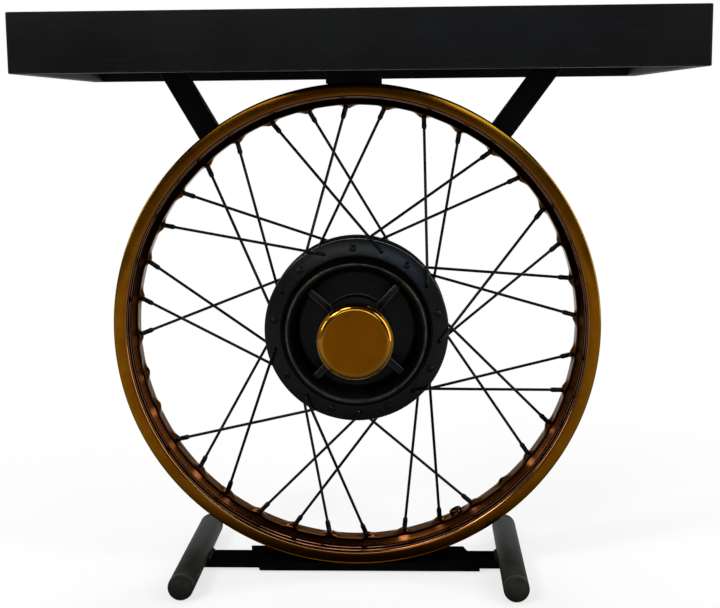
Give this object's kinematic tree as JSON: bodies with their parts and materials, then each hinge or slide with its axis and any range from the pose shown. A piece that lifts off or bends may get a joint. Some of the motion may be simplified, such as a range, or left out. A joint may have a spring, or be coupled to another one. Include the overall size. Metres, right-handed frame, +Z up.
{
  "type": "spoked wheel side table",
  "caption": "Low side table: a flat rectangular top carried by an upright spoked wheel with a capped hub, on a flat bar with two round feet.",
  "frame": {"origin": "on the floor, below the middle of the tabletop", "axes": "+X along the tabletop to the right as seen from the cap's side, +Y to the back, +Z up"},
  "size_m": [0.6, 0.34, 0.55],
  "materials": {
    "black_board": "satin black laminate",
    "gold_rim": "gold anodised, polished",
    "gold_cap": "gold anodised, satin",
    "black_hub": "satin black paint on cast aluminium",
    "black_spoke": "gloss black",
    "black_steel": "satin black paint",
    "charcoal_steel": "satin charcoal paint",
    "bright_steel": "turned",
    "liner_iron": "turned",
    "seal_rubber": "matte"
  },
  "bodies": {
    "table": {"base_bar_left": "black_steel", "base_bar_right": "black_steel", "bearing_circlip": "bright_steel", "bearing_far_outer_ring": "bright_steel", "bearing_far_sealed_balls": "seal_rubber", "bearing_near_outer_ring": "bright_steel", "bearing_near_sealed_balls": "seal_rubber", "drum_liner": "liner_iron", "foot_plugs_left": "charcoal_steel", "foot_plugs_right": "charcoal_steel", "foot_tube_left": "charcoal_steel", "foot_tube_right": "charcoal_steel", "hub_shell": "black_hub", "plate_screws": "bright_steel", "rim": "gold_rim", "rim_crest_plate": "black_steel", "rim_crest_post": "black_steel", "saddle_plate": "black_steel", "spoke_nipples": "black_spoke", "spokes_far_inside": "black_spoke", "spokes_far_outside": "black_spoke", "spokes_near_inside": "black_spoke", "spokes_near_outside": "black_spoke", "strut_left": "black_steel", "strut_plate_left": "black_steel", "strut_plate_right": "black_steel", "strut_right": "black_steel", "top_rail_back": "black_board", "top_rail_front": "black_board", "top_rail_left": "black_board", "top_rail_right": "black_board", "top_upper_panel": "black_board", "weld_beads_crest": "black_steel", "weld_beads_feet": "charcoal_steel", "weld_beads_saddle": "black_steel", "weld_beads_strut_plates": "black_steel"},
    "axle_assembly": {"axle": "bright_steel", "axle_nut_far": "bright_steel", "axle_nut_near": "bright_steel", "axle_washer_far": "bright_steel", "axle_washer_near": "bright_steel", "bearing_far_inner_ring": "bright_steel", "bearing_near_inner_ring": "bright_steel", "bearing_spacer_sleeve": "bright_steel", "cap_collar": "bright_steel", "cap_grub_screw": "bright_steel", "center_cap": "gold_cap"}
  },
  "joints": [
    {"name": "axle_spin", "type": "hinge", "parent": "table", "child": "axle_assembly", "pos_m": [-0.007, 0, 0.25], "axis": [0, 1, 0], "continuous": true}
  ]
}
